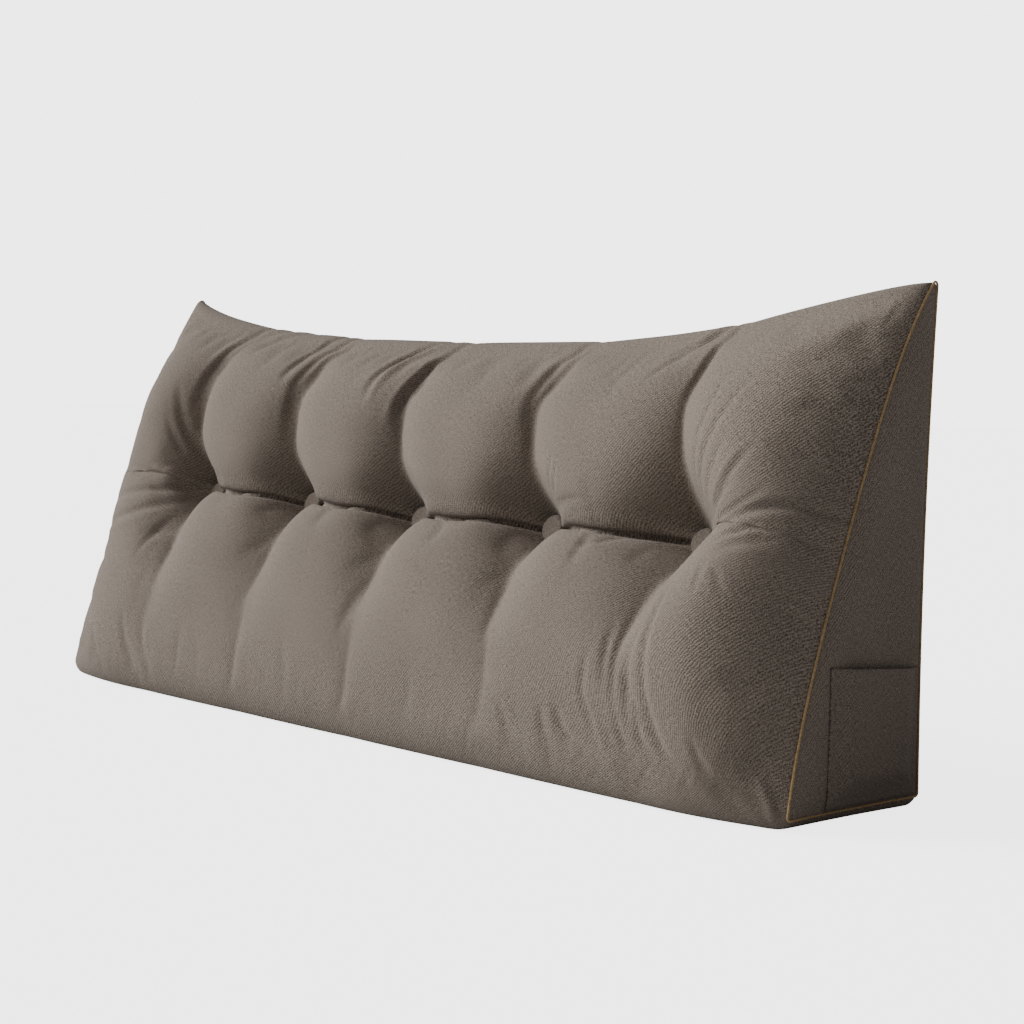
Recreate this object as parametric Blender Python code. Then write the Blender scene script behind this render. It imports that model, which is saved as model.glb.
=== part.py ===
"""Wedge cushion: a filled triangular back cushion with five covered buttons, an end pocket and a piped end.

Frame: +X along the cushion, -Y the sloping front, +Z up. The origin is the middle of the flat base.
Units are metres.
"""

import math

import bmesh
import bpy
from mathutils import Vector

# Driving sizes of the sewn cover, seam to seam
LENGTH = 1.200
DEPTH = 0.200
HEIGHT = 0.500
HALF_LENGTH = LENGTH / 2
HALF_DEPTH = DEPTH / 2
GAP = 0.0003

# How far in from an end seam the filling reaches its full shape
END_REACH = 0.160

# Corner rounds of the section, at an end seam and in the full middle: centre y, centre z and radius
CORNER_AT_END = {
    "front": (-HALF_DEPTH + 0.0055, 0.0140, 0.004),
    "top": (HALF_DEPTH - 0.0060, HEIGHT - 0.0040, 0.004),
    "back": (HALF_DEPTH - 0.0060, 0.0140, 0.004),
}
CORNER_AT_MIDDLE = {
    "front": (-0.0980, 0.0380, 0.038),
    "top": (0.0720, HEIGHT - 0.0270, 0.027),
    "back": (0.0780, 0.0280, 0.028),
}

# Above 1, the front corner stays sharp for longer as it leaves an end seam
FRONT_CORNER_SOFTNESS = 1.8

# The top edge sinks between its two ears, sooner at the left ear than at the right one
TOP_SINK = 0.060
LEFT_EAR_LENGTH = 0.190
RIGHT_EAR_LENGTH = 0.200
RIGHT_EAR_POWER = 1.45

# The end seams: bowed forward along the slope, and drawn in along the cushion
SEAM_BOW = 0.014
SEAM_BOW_SKEW = 0.25
FRONT_SEAM_PULL = 0.010
BACK_SEAM_PULL = 0.004
BASE_SEAM_PULL = 0.002
SEAM_PULL_REACH = 0.150
BACK_CROWN = 0.008
BACK_CROWN_POWER = 0.7

# Covered buttons, left to right: place along the cushion, height as a share of the slope,
# how far the seat lies out from the straight slope, and the radius of the pit round it
BUTTONS = [
    {"x": -0.404, "rise": 0.488, "out": 0.008, "pit": 0.038},
    {"x": -0.206, "rise": 0.482, "out": 0.008, "pit": 0.038},
    {"x": -0.004, "rise": 0.472, "out": 0.008, "pit": 0.038},
    {"x": 0.208, "rise": 0.478, "out": 0.009, "pit": 0.042},
    {"x": 0.420, "rise": 0.478, "out": 0.012, "pit": 0.060},
]
BUTTON_RADIUS = 0.0155
BUTTON_EDGE = 0.0015
BUTTON_RIM = 0.0035
BUTTON_SHOULDER = 0.0020
BUTTON_DOME = 0.0050
BUTTON_SIDES = 20
BUTTON_SEAT = 0.0170

# Crowns of the puffs above and below the button row, as outward heights over the plain section
CROWNS = [
    {"x": -0.600, "up": 0.042, "down": 0.022},
    {"x": -0.305, "up": 0.041, "down": 0.032},
    {"x": -0.105, "up": 0.041, "down": 0.034},
    {"x": 0.100, "up": 0.042, "down": 0.036},
    {"x": 0.314, "up": 0.044, "down": 0.040},
    {"x": 0.520, "up": 0.054, "down": 0.056},
]
PUFF_RISE_POWER = 9
PUFF_FALL_POWER = 2.6
PUFF_HALF_WIDTH = 0.104
PUFF_END_REACH = 0.125
PUFF_END_SOFTNESS = 1.8

# The crease that joins the buttons, and the bottom of the pit round each of them
CREASE_LEVEL = -0.005
CREASE_FADE = 0.110
CREASE_AT_SEAM = 0.06
PIT_LEVEL = -0.027

# Channels from each button: share of the way to the seam, depth going up and depth going down
CHANNELS = [
    {"way": 0.00, "up": 0.010, "down": 0.010},
    {"way": 0.08, "up": 0.042, "down": 0.036},
    {"way": 0.35, "up": 0.037, "down": 0.027},
    {"way": 0.70, "up": 0.016, "down": 0.009},
    {"way": 1.00, "up": 0.002, "down": 0.002},
]
CHANNEL_POWER = 2.8
LOWER_LEAN_DROP = 1.4
# How far each channel leans sideways: half way up, at the top, half way down and at the foot
CHANNEL_LEAN = [
    {"x": -HALF_LENGTH, "up": 0.0, "top": 0.0, "down": 0.0, "foot": 0.0},
    {"x": BUTTONS[0]["x"], "up": -0.038, "top": -0.008, "down": 0.004, "foot": 0.010},
    {"x": BUTTONS[1]["x"], "up": -0.038, "top": -0.016, "down": 0.000, "foot": 0.010},
    {"x": BUTTONS[2]["x"], "up": -0.038, "top": -0.020, "down": -0.002, "foot": 0.014},
    {"x": BUTTONS[3]["x"], "up": -0.032, "top": -0.016, "down": -0.004, "foot": 0.022},
    {"x": BUTTONS[4]["x"], "up": -0.022, "top": -0.024, "down": -0.042, "foot": 0.052},
    {"x": HALF_LENGTH, "up": 0.0, "top": 0.0, "down": 0.0, "foot": 0.0},
]

# Mesh lines: offsets from a button, distances in from an end seam, and shares of the way from the button row
NEAR_BUTTON = [0.017, 0.032, 0.050, 0.074]
BEYOND_BUTTON = [0.092, 0.118]
NEAR_END = [0.000, 0.006, 0.018, 0.038, 0.066]
ROW_SHARES = [0.065, 0.130, 0.210, 0.300, 0.400, 0.520, 0.650, 0.780, 0.900, 1.000]
TOP_STEPS = 5
BACK_STEPS = 9
CORNER_STEPS = 4
BASE_STEPS = 5

# The end panels: their middle is flat, a little proud of the seam
PANEL_X = HALF_LENGTH + 0.002
PANEL_SHRINKS = [0.94, 0.88]
PANEL_MIDDLE = (0.019, 0.081)

# The patch pocket on the right end panel, with room for a phone behind its cloth
POCKET_FRONT = -0.045
POCKET_BACK = 0.091
POCKET_FOOT = 0.014
POCKET_MOUTH = 0.144
POCKET_MOUTH_DROP = 0.009
POCKET_CLOTH = 0.002
POCKET_ROOM = 0.0095
POCKET_MARGIN = 0.006
POCKET_RISE = 0.024
POCKET_COLUMNS = 14
POCKET_ROWS = 10

PIPING_RADIUS = 0.0015
PIPING_CLEARANCE = 0.0011
PIPING_NARROWEST = 0.7

# Edges bent more than this many degrees stay sharp
CUSHION_SHARP = 40.0
BUTTON_SHARP = 50.0
POCKET_SHARP = 60.0

CLOTH_COLOUR = (0.165, 0.143, 0.124, 1.0)
PIPING_COLOUR = (0.330, 0.215, 0.090, 1.0)


def ease(share):
    """A smooth step from 0 to 1."""
    share = min(max(share, 0.0), 1.0)
    return share * share * (3.0 - 2.0 * share)


def table_value(rows, key, name, at):
    """The value of one column of a short table, read smoothly between its rows."""
    for low, high in zip(rows, rows[1:]):
        if at <= high[key]:
            share = (at - low[key]) / (high[key] - low[key])
            return low[name] + (high[name] - low[name]) * ease(share)
    return rows[-1][name]


def fullness(x, reach=END_REACH):
    """0 at an end seam and 1 where the filling is full, steep at the seam as a stuffed edge is."""
    inward = min(max((HALF_LENGTH - abs(x)) / reach, 0.0), 1.0)
    return math.sqrt(1.0 - (1.0 - inward) ** 2)


def top_sink(x):
    """How far the top edge lies below its ears."""
    left = 1.0 - math.exp(-(x + HALF_LENGTH) / LEFT_EAR_LENGTH)
    right = 1.0 - math.exp(-(((HALF_LENGTH - x) / RIGHT_EAR_LENGTH) ** RIGHT_EAR_POWER))
    return TOP_SINK * left * right


def corner(name, x):
    """Centre y, centre z and radius of one rounded corner of the section."""
    full = fullness(x) ** (FRONT_CORNER_SOFTNESS if name == "front" else 1.0)
    y, z, radius = (
        end + (middle - end) * full
        for end, middle in zip(CORNER_AT_END[name], CORNER_AT_MIDDLE[name])
    )
    return y, z - (top_sink(x) if name == "top" else 0.0), radius


def tangent_normal(start, end):
    """Outward normal of the line that touches two corner rounds."""
    along_y, along_z = end[0] - start[0], end[1] - start[1]
    span = math.hypot(along_y, along_z)
    along_y, along_z = along_y / span, along_z / span
    lean = (start[2] - end[2]) / span
    square = math.sqrt(1.0 - lean * lean)
    return (lean * along_y - square * along_z, lean * along_z + square * along_y)


def line_point(start, end, normal, share):
    """A point on the line that touches two corner rounds."""
    y = [c[0] + c[2] * normal[0] for c in (start, end)]
    z = [c[1] + c[2] * normal[1] for c in (start, end)]
    return y[0] + (y[1] - y[0]) * share, z[0] + (z[1] - z[0]) * share


def button_row(front, top, normal, rise):
    """Where the button row crosses the slope's line, as a share of that line."""
    start = Vector(line_point(front, top, normal, 0.0))
    line = Vector(line_point(front, top, normal, 1.0)) - start
    row = Vector((DEPTH * rise - HALF_DEPTH, HEIGHT * rise))
    return (row - start).dot(line) / line.length_squared


def arc_point(centre, normal_in, normal_out, share):
    """A point and its normal on a corner round, turning clockwise from one normal to the other."""
    turn_in = math.atan2(normal_in[1], normal_in[0])
    turn_out = math.atan2(normal_out[1], normal_out[0])
    if turn_out > turn_in:
        turn_out -= 2.0 * math.pi
    angle = turn_in + (turn_out - turn_in) * share
    normal = (math.cos(angle), math.sin(angle))
    return centre[0] + centre[2] * normal[0], centre[1] + centre[2] * normal[1], normal


def between_buttons(x, name):
    """A button value carried along the cushion, level past the outer buttons."""
    if x <= BUTTONS[0]["x"]:
        return BUTTONS[0][name]
    return table_value(BUTTONS, "x", name, x)


def nearest_button(x):
    """The button whose channel is nearest, before the channels lean."""
    return min(BUTTONS, key=lambda button: abs(x - button["x"]))


def lean_at(x, share):
    """Sideways lean of the mesh lines, so that a line of points lies in each channel."""
    if share < 0.0:
        swell = math.sin(math.pi * abs(share) ** LOWER_LEAN_DROP) ** 2
        foot = table_value(CHANNEL_LEAN, "x", "foot", x) * ease(-share)
        return table_value(CHANNEL_LEAN, "x", "down", x) * swell + foot
    swell = math.sin(math.pi * share)
    top = table_value(CHANNEL_LEAN, "x", "top", x) * ease(share)
    return table_value(CHANNEL_LEAN, "x", "up", x) * swell + top


def crown_at(x, share):
    """Crown of the puff at a point, one value where the upper and the lower puff meet."""
    upper = table_value(CROWNS, "x", "up", x)
    lower = table_value(CROWNS, "x", "down", x)
    between = (upper + lower) / 2
    own = upper if share >= 0.0 else lower
    return between + (own - between) * ease(2.0 * abs(share))


def crease_strength(x):
    """1 along the button row, fading soon past each outer button."""
    beyond = max(BUTTONS[0]["x"] - x, x - BUTTONS[-1]["x"], 0.0)
    return 1.0 + (CREASE_AT_SEAM - 1.0) * ease(beyond / CREASE_FADE)


def puff_height(x, share):
    """Outward height over the plain section, by the share of the way up or down."""
    way = abs(share)
    button = nearest_button(x)
    offset = abs(x - button["x"])
    across = min(offset / PUFF_HALF_WIDTH, 1.0)
    deep = table_value(CHANNELS, "way", "up" if share >= 0.0 else "down", way)
    channel = deep * (1.0 - across) ** CHANNEL_POWER
    near_row = (1.0 - way) ** PUFF_RISE_POWER
    open_puff = crown_at(x, share) * (1.0 - way ** PUFF_FALL_POWER)
    creased_puff = open_puff * (1.0 - near_row) + CREASE_LEVEL * near_row
    crease = crease_strength(x)
    reach = math.hypot(offset, way * HEIGHT / 2)
    pit = (PIT_LEVEL - CREASE_LEVEL) * math.exp(-((reach / button["pit"]) ** 2))
    height = creased_puff * crease + open_puff * (1.0 - crease) - channel + pit
    return height * fullness(x, PUFF_END_REACH) ** PUFF_END_SOFTNESS


def seam_bow(x, share):
    """Forward bow of the slope at an end seam, fullest in its upper half."""
    offset = 2.0 * share - 1.0
    return SEAM_BOW * (1.0 - offset ** 4) * (1.0 + SEAM_BOW_SKEW * offset) * (1.0 - fullness(x))


def drawn_in(x, pull, share):
    """The place along the cushion once an end seam is drawn in between its corners."""
    near = 1.0 - ease((HALF_LENGTH - abs(x)) / SEAM_PULL_REACH)
    return x - math.copysign(pull * 4.0 * share * (1.0 - share) * near, x)


def seat_centre(button):
    """The middle of a button's flat seat, on the sloping front."""
    slope = Vector((0.0, DEPTH, HEIGHT))
    base = Vector((button["x"], -HALF_DEPTH, 0.0)) + slope * button["rise"]
    return base + front_normal() * button["out"]


def front_normal():
    """Outward normal of the straight slope from the front corner to the top corner."""
    return Vector((0.0, -HEIGHT, DEPTH)).normalized()


def on_seat(x, share):
    """The seat point of a mesh point that belongs to a button's flat seat, or None."""
    slope = Vector((0.0, DEPTH, HEIGHT)).normalized()
    for button in BUTTONS:
        if abs(x - button["x"]) <= BUTTON_SEAT + 1e-6 and abs(share) <= ROW_SHARES[0] + 1e-6:
            up = math.copysign(BUTTON_SEAT, share) if share else 0.0
            return seat_centre(button) + Vector((x - button["x"], 0.0, 0.0)) + slope * up
    return None


def front_point(x, share):
    """A point of the sloping front panel."""
    seat = on_seat(x, share)
    if seat:
        return seat
    front, top = corner("front", x), corner("top", x)
    normal = tangent_normal(front, top)
    row = button_row(front, top, normal, between_buttons(x, "rise"))
    along = row * (1.0 + share) if share < 0.0 else row + (1.0 - row) * share
    y, z = line_point(front, top, normal, along)
    out = puff_height(x, share) + seam_bow(x, along)
    place = drawn_in(x + lean_at(x, share), FRONT_SEAM_PULL, along)
    return Vector((place, y + normal[0] * out, z + normal[1] * out))


def top_points(x, top, slope_out, back_out):
    """The top corner round, from the front to the back."""
    points = []
    for step in range(1, TOP_STEPS + 1):
        share = step / (TOP_STEPS + 1)
        y, z, normal = arc_point(top, slope_out, back_out, share)
        out = puff_height(x, 1.0) * (1.0 - share)
        place = x + lean_at(x, 1.0) * (1.0 - share)
        points.append(Vector((place, y + normal[0] * out, z + normal[1] * out)))
    return points


def back_points(x, top, back, back_out):
    """The upright back, from the top to the base."""
    points = []
    for step in range(BACK_STEPS):
        share = step / (BACK_STEPS - 1)
        y, z = line_point(top, back, back_out, share)
        out = BACK_CROWN * fullness(x) * math.sin(math.pi * share) ** BACK_CROWN_POWER
        place = drawn_in(x, BACK_SEAM_PULL, share)
        points.append(Vector((place, y + back_out[0] * out, z + back_out[1] * out)))
    return points


def base_points(x, back, front, back_out, base_out):
    """The back corner round and the flat base."""
    points = []
    for step in range(1, CORNER_STEPS + 1):
        y, z, _ = arc_point(back, back_out, base_out, step / (CORNER_STEPS + 1))
        points.append(Vector((x, y, z)))
    for step in range(BASE_STEPS):
        share = step / (BASE_STEPS - 1)
        y, z = line_point(back, front, base_out, share)
        points.append(Vector((drawn_in(x, BASE_SEAM_PULL, share), y, z)))
    return points


def foot_points(x, front, base_out, slope_out):
    """The front corner round, from the base up to the slope."""
    points = []
    for step in range(1, CORNER_STEPS + 1):
        share = step / (CORNER_STEPS + 1)
        y, z, normal = arc_point(front, base_out, slope_out, share)
        out = puff_height(x, -1.0) * share
        place = x + lean_at(x, -1.0) * share
        points.append(Vector((place, y + normal[0] * out, z + normal[1] * out)))
    return points


def section(x):
    """The closed line of points round the cushion at one mesh line."""
    front, top, back = (corner(name, x) for name in ("front", "top", "back"))
    slope_out = tangent_normal(front, top)
    back_out = tangent_normal(top, back)
    base_out = tangent_normal(back, front)
    shares = [-share for share in reversed(ROW_SHARES)] + [0.0] + ROW_SHARES
    points = [front_point(x, share) for share in shares]
    points += top_points(x, top, slope_out, back_out)
    points += back_points(x, top, back, back_out)
    points += base_points(x, back, front, back_out, base_out)
    points += foot_points(x, front, base_out, slope_out)
    return [Vector((p.x, p.y, max(p.z, 0.0))) for p in points]


def mesh_lines():
    """Places of the mesh lines along the cushion, close together at the buttons and the end seams."""
    places = set()
    for button in BUTTONS:
        places.add(button["x"])
        for offset in NEAR_BUTTON:
            places.update((button["x"] - offset, button["x"] + offset))
    for left, right in zip(BUTTONS, BUTTONS[1:]):
        places.add((left["x"] + right["x"]) / 2)
    for inward in NEAR_END:
        places.update((-HALF_LENGTH + inward, HALF_LENGTH - inward))
    for side, button in ((-1, BUTTONS[0]), (1, BUTTONS[-1])):
        for offset in BEYOND_BUTTON:
            places.add(button["x"] + side * offset)
    return sorted(places)


def shrunk(loop, side, shrink, x):
    """The end seam's loop drawn towards the middle of its panel."""
    middle = Vector((side * x, *PANEL_MIDDLE))
    return [middle + Vector((0.0, p.y - middle.y, p.z - middle.z)) * shrink for p in loop]


def end_panel(loop, side):
    """The loops of an end panel, from the seam to its flat middle."""
    seam_x = sum(abs(p.x) for p in loop) / len(loop)
    return [
        shrunk(loop, side, PANEL_SHRINKS[0], (seam_x + 2.0 * PANEL_X) / 3.0),
        shrunk(loop, side, PANEL_SHRINKS[1], PANEL_X),
    ]


def material(name, colour, roughness):
    """One plain cloth or thread material."""
    made = bpy.data.materials.new(name)
    made.use_nodes = True
    shader = made.node_tree.nodes["Principled BSDF"]
    shader.inputs["Base Color"].default_value = colour
    shader.inputs["Roughness"].default_value = roughness
    shader.inputs["Metallic"].default_value = 0.0
    return made


def object_from(bm, name, finish, sharp_degrees):
    """An object with its faces turned outward, smooth but for its sharp edges."""
    mesh = bpy.data.meshes.new(name)
    bmesh.ops.recalc_face_normals(bm, faces=bm.faces)
    bm.to_mesh(mesh)
    bm.free()
    mesh.materials.append(finish)
    mesh.shade_smooth()
    mesh.set_sharp_from_angle(angle=math.radians(sharp_degrees))
    made = bpy.data.objects.new(name, mesh)
    bpy.context.scene.collection.objects.link(made)
    return made


def skinned(bm, loops):
    """Quads between each loop of points and the next, and a cap on the first and the last loop."""
    rings = [[bm.verts.new(p) for p in points] for points in loops]
    for near, far in zip(rings, rings[1:]):
        for a, b, c, d in zip(near, near[1:] + near[:1], far[1:] + far[:1], far):
            bm.faces.new((a, b, c, d))
    for ring in (rings[0], rings[-1]):
        bm.faces.new(ring)


def make_cushion(finish):
    """The filled body: its sections skinned along the cushion and closed by the two end panels."""
    sections = [section(x) for x in mesh_lines()]
    left = end_panel(sections[0], -1)
    right = end_panel(sections[-1], 1)
    bm = bmesh.new()
    skinned(bm, left[::-1] + sections + right)
    bmesh.ops.triangulate(bm, faces=[f for f in bm.faces if len(f.verts) > 4])
    return object_from(bm, "cushion", finish, CUSHION_SHARP), sections


def make_button(number, button, finish):
    """A cloth-covered button: a low turned dome with a rolled rim, flat on its seat."""
    profile = [
        (0.0, 0.0),
        (BUTTON_RADIUS - BUTTON_EDGE, 0.0),
        (BUTTON_RADIUS, BUTTON_EDGE),
        (BUTTON_RADIUS, BUTTON_RIM),
        (BUTTON_RADIUS - BUTTON_SHOULDER, BUTTON_RIM + BUTTON_SHOULDER),
        (BUTTON_RADIUS * 0.55, BUTTON_RIM + BUTTON_DOME * 0.85),
        (0.0, BUTTON_RIM + BUTTON_DOME),
    ]
    bm = bmesh.new()
    verts = [bm.verts.new((r, 0.0, h)) for r, h in profile]
    edges = [bm.edges.new(pair) for pair in zip(verts, verts[1:])]
    turned = {"cent": (0, 0, 0), "axis": (0, 0, 1), "angle": 2 * math.pi, "steps": BUTTON_SIDES}
    bmesh.ops.spin(bm, geom=verts + edges, use_merge=True, **turned)
    bmesh.ops.remove_doubles(bm, verts=bm.verts, dist=GAP / 10)
    made = object_from(bm, f"button_{number}", finish, BUTTON_SHARP)
    normal = front_normal()
    made.rotation_euler = normal.to_track_quat("Z", "Y").to_euler()
    made.location = seat_centre(button) + normal * GAP
    return made


def pocket_room(y, z):
    """Room between the end panel and the pocket cloth: none along its three sewn edges."""
    sides = min(y - POCKET_FRONT, POCKET_BACK - y)
    edge = min(sides, z - POCKET_FOOT) - POCKET_MARGIN
    return GAP + POCKET_ROOM * ease(edge / POCKET_RISE)


def make_pocket(finish):
    """The patch pocket: one cloth on the right end panel, sewn along three edges and open at the top."""
    bm = bmesh.new()
    rows = []
    for row in range(POCKET_ROWS + 1):
        line = []
        for column in range(POCKET_COLUMNS + 1):
            y = POCKET_FRONT + (POCKET_BACK - POCKET_FRONT) * column / POCKET_COLUMNS
            mouth = POCKET_MOUTH - POCKET_MOUTH_DROP * column / POCKET_COLUMNS
            z = POCKET_FOOT + (mouth - POCKET_FOOT) * row / POCKET_ROWS
            line.append(bm.verts.new((PANEL_X + pocket_room(y, z), y, z)))
        rows.append(line)
    for low, high in zip(rows, rows[1:]):
        for a, b, c, d in zip(low, low[1:], high[1:], high):
            bm.faces.new((a, b, c, d))
    made = object_from(bm, "pocket", finish, POCKET_SHARP)
    cloth = made.modifiers.new("cloth thickness", "SOLIDIFY")
    cloth.thickness = POCKET_CLOTH
    cloth.offset = 1.0 if made.data.polygons[0].normal.x > 0 else -1.0
    cloth.use_even_offset = False
    return made


def piping_path(seam, body_loop, panel_loop):
    """Centres of the piping: out from each seam point, clear of the two cloths that meet there."""
    centres = []
    for place, body, panel in zip(seam, body_loop, panel_loop):
        to_body = (body - place).normalized()
        to_panel = (panel - place).normalized()
        across = (to_body - to_panel).normalized()
        outward = Vector((0.0, place.y - PANEL_MIDDLE[0], place.z - PANEL_MIDDLE[1])).normalized()
        outward.x = math.copysign(1.0, place.x)
        outward = (outward - across * outward.dot(across)).normalized()
        narrow = min(math.sin(outward.angle(to_body)), math.sin(outward.angle(to_panel)))
        centres.append(place + outward * (PIPING_RADIUS + PIPING_CLEARANCE) / max(narrow, PIPING_NARROWEST))
    return centres


def make_piping(name, path, finish):
    """A thin round piping cord let into an end seam, one closed ring."""
    curve = bpy.data.curves.new(name, "CURVE")
    curve.dimensions = "3D"
    spline = curve.splines.new("POLY")
    spline.points.add(len(path) - 1)
    for point, place in zip(spline.points, path):
        point.co = (*place, 1.0)
    spline.use_cyclic_u = True
    curve.bevel_depth = PIPING_RADIUS
    curve.bevel_resolution = 1
    curve.materials.append(finish)
    made = bpy.data.objects.new(name, curve)
    bpy.context.scene.collection.objects.link(made)
    return made


def main():
    for obj in list(bpy.data.objects):
        bpy.data.objects.remove(obj)
    cloth = material("linen_cloth", CLOTH_COLOUR, 0.9)
    button_cloth = material("button_cloth", CLOTH_COLOUR, 0.9)
    piping = material("gold_piping", PIPING_COLOUR, 0.8)
    _, sections = make_cushion(cloth)
    for number, button in enumerate(BUTTONS, 1):
        make_button(number, button, button_cloth)
    make_pocket(cloth)
    right_panel = end_panel(sections[-1], 1)[0]
    make_piping("piping", piping_path(sections[-1], sections[-2], right_panel), piping)


main()
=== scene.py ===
# %% [markdown]
# # A tufted wedge cushion
#
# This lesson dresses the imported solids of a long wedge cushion: a filled cover with a sloping front that five
# covered buttons draw in, a patch pocket on the right end and a thin gold piping round that end.
# The frame gives the sizes and places. Everything is in metres: +X along the cushion, -Y to the front, +Z up.

# %% Load the frame
import math

import bmesh
import bpy
import numpy as np
from mathutils import Matrix, Vector
from mathutils.bvhtree import BVHTree


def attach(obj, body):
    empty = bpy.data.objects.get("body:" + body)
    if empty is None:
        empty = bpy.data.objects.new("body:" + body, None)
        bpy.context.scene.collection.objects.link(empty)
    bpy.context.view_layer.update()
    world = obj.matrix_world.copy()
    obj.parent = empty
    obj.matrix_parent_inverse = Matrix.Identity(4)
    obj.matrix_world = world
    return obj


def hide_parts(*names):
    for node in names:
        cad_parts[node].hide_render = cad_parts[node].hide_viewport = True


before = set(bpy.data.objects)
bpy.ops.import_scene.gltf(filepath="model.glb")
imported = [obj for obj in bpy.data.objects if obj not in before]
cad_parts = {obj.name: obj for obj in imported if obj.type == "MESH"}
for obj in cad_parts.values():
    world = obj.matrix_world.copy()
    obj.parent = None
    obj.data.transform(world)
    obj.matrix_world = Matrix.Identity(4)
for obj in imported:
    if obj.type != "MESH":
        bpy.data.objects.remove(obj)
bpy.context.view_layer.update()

# %% Driving sizes of the sewn cover
LENGTH, DEPTH, HEIGHT = 1.200, 0.200, 0.500
HALF_LENGTH = LENGTH / 2
HALF_DEPTH = DEPTH / 2
SLOPE = Vector((0.0, DEPTH, HEIGHT))
SLOPE_DIR = SLOPE.normalized()
SLOPE_OUT = Vector((0.0, -HEIGHT, DEPTH)).normalized()
SLOPE_FOOT = Vector((0.0, -HALF_DEPTH, 0.0))
MM = 0.001
BUTTONS = [
    {"x": -0.404, "rise": 0.488, "out": 0.008, "pit": 0.038},
    {"x": -0.206, "rise": 0.482, "out": 0.008, "pit": 0.038},
    {"x": -0.004, "rise": 0.472, "out": 0.008, "pit": 0.038},
    {"x": 0.208, "rise": 0.478, "out": 0.009, "pit": 0.042},
    {"x": 0.420, "rise": 0.478, "out": 0.012, "pit": 0.060},
]
button_pitch = BUTTONS[1]["x"] - BUTTONS[0]["x"]
print("slope", round(SLOPE.length, 3), "m, button pitch about", round(button_pitch, 3), "m")


# %% [markdown]
# ## The body: one filled cover
#
# A real wedge like this is five panels sewn together and stuffed with fibre, then tufted: twine pulls each
# button into the front. It could be sculpted by hand, or blown up with a cloth simulation alone. Here the cover
# is laid out first as a fine net of sections, each a rounded triangle, because that puts the ears, the drawn-in
# seams, the tuft channels and the crease exactly where they are. The simulation then only tightens the cloth.

# %% Section of the cover
END_REACH = 0.160
CORNER_AT_END = {
    "front": (-HALF_DEPTH + 0.0055, 0.0140, 0.004),
    "top": (HALF_DEPTH - 0.0060, HEIGHT - 0.0040, 0.004),
    "back": (HALF_DEPTH - 0.0060, 0.0140, 0.004),
}
CORNER_AT_MIDDLE = {
    "front": (-0.0980, 0.0380, 0.038),
    "top": (0.0720, HEIGHT - 0.0270, 0.027),
    "back": (0.0780, 0.0280, 0.028),
}
CORNER_SOFTNESS = 1.8
TOP_SINK = 0.060
LEFT_EAR_LENGTH = 0.190
RIGHT_EAR_LENGTH = 0.200
RIGHT_EAR_POWER = 1.45


def ease(share):
    share = np.clip(share, 0.0, 1.0)
    return share * share * (3.0 - 2.0 * share)


def table_value(rows, key, name, at):
    """One column of a short table, read smoothly between its rows."""
    places = np.array([row[key] for row in rows])
    values = np.array([row[name] for row in rows])
    index = np.clip(np.searchsorted(places, at) - 1, 0, len(rows) - 2)
    share = (at - places[index]) / (places[index + 1] - places[index])
    return values[index] + (values[index + 1] - values[index]) * ease(share)


def fullness(x, reach=END_REACH):
    """0 at an end seam, rising as a round shoulder to 1 where the cushion is full."""
    inward = np.clip((HALF_LENGTH - np.abs(x)) / reach, 0.0, 1.0)
    return np.sqrt(1.0 - (1.0 - inward) ** 2)


def top_sink(x):
    left = 1.0 - np.exp(-(x + HALF_LENGTH) / LEFT_EAR_LENGTH)
    right = 1.0 - np.exp(-((np.maximum(HALF_LENGTH - x, 0.0) / RIGHT_EAR_LENGTH) ** RIGHT_EAR_POWER))
    return TOP_SINK * left * right


def corner(name, x):
    """Centre y, centre z and radius of one rounded corner, for every section at once."""
    full = fullness(x) ** (CORNER_SOFTNESS if name == "front" else 1.0)
    end, middle = CORNER_AT_END[name], CORNER_AT_MIDDLE[name]
    y, z, radius = (end[i] + (middle[i] - end[i]) * full for i in range(3))
    return y, z - (top_sink(x) if name == "top" else 0.0), radius


def tangent_normal(start, end):
    """Outward normal of the line that touches two corner rounds."""
    along_y, along_z = end[0] - start[0], end[1] - start[1]
    span = np.hypot(along_y, along_z)
    along_y, along_z = along_y / span, along_z / span
    lean = (start[2] - end[2]) / span
    square = np.sqrt(1.0 - lean * lean)
    return lean * along_y - square * along_z, lean * along_z + square * along_y


def line_ends(start, end, normal):
    first = np.stack([start[0] + start[2] * normal[0], start[1] + start[2] * normal[1]], -1)
    last = np.stack([end[0] + end[2] * normal[0], end[1] + end[2] * normal[1]], -1)
    return first, last


# %% [markdown]
# ## Puffs, channels and pits
#
# Between the buttons the filling pushes the cloth out in puffs. From each button a channel runs up and down to
# the seams, and a crease joins the buttons. They could be sculpted, but as plain heights over the section they
# come from nearly the same few sizes as the solid's.

# %% Puffs, channels and pits
CROWNS = [
    {"x": -0.600, "up": 0.042, "down": 0.022},
    {"x": -0.305, "up": 0.041, "down": 0.032},
    {"x": -0.105, "up": 0.041, "down": 0.034},
    {"x": 0.100, "up": 0.042, "down": 0.036},
    {"x": 0.314, "up": 0.044, "down": 0.040},
    {"x": 0.520, "up": 0.054, "down": 0.056},
]
PUFF_RISE_POWER = 13
PUFF_FALL_POWER = {"up": 3.4, "down": 2.6}
PUFF_HALF_WIDTH = 0.104
PUFF_END_REACH = 0.108
PUFF_END_SOFTNESS = 1.8
CREASE_LEVEL = 0.006
CREASE_FADE = 0.110
CREASE_SAG = 0.010
PIT_LEVEL = -0.027
CHANNELS = [
    {"way": 0.00, "up": 0.010, "down": 0.010},
    {"way": 0.08, "up": 0.042, "down": 0.036},
    {"way": 0.35, "up": 0.037, "down": 0.027},
    {"way": 0.70, "up": 0.024, "down": 0.009},
    {"way": 1.00, "up": 0.003, "down": 0.002},
]
CHANNEL_POWER = 2.8
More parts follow.
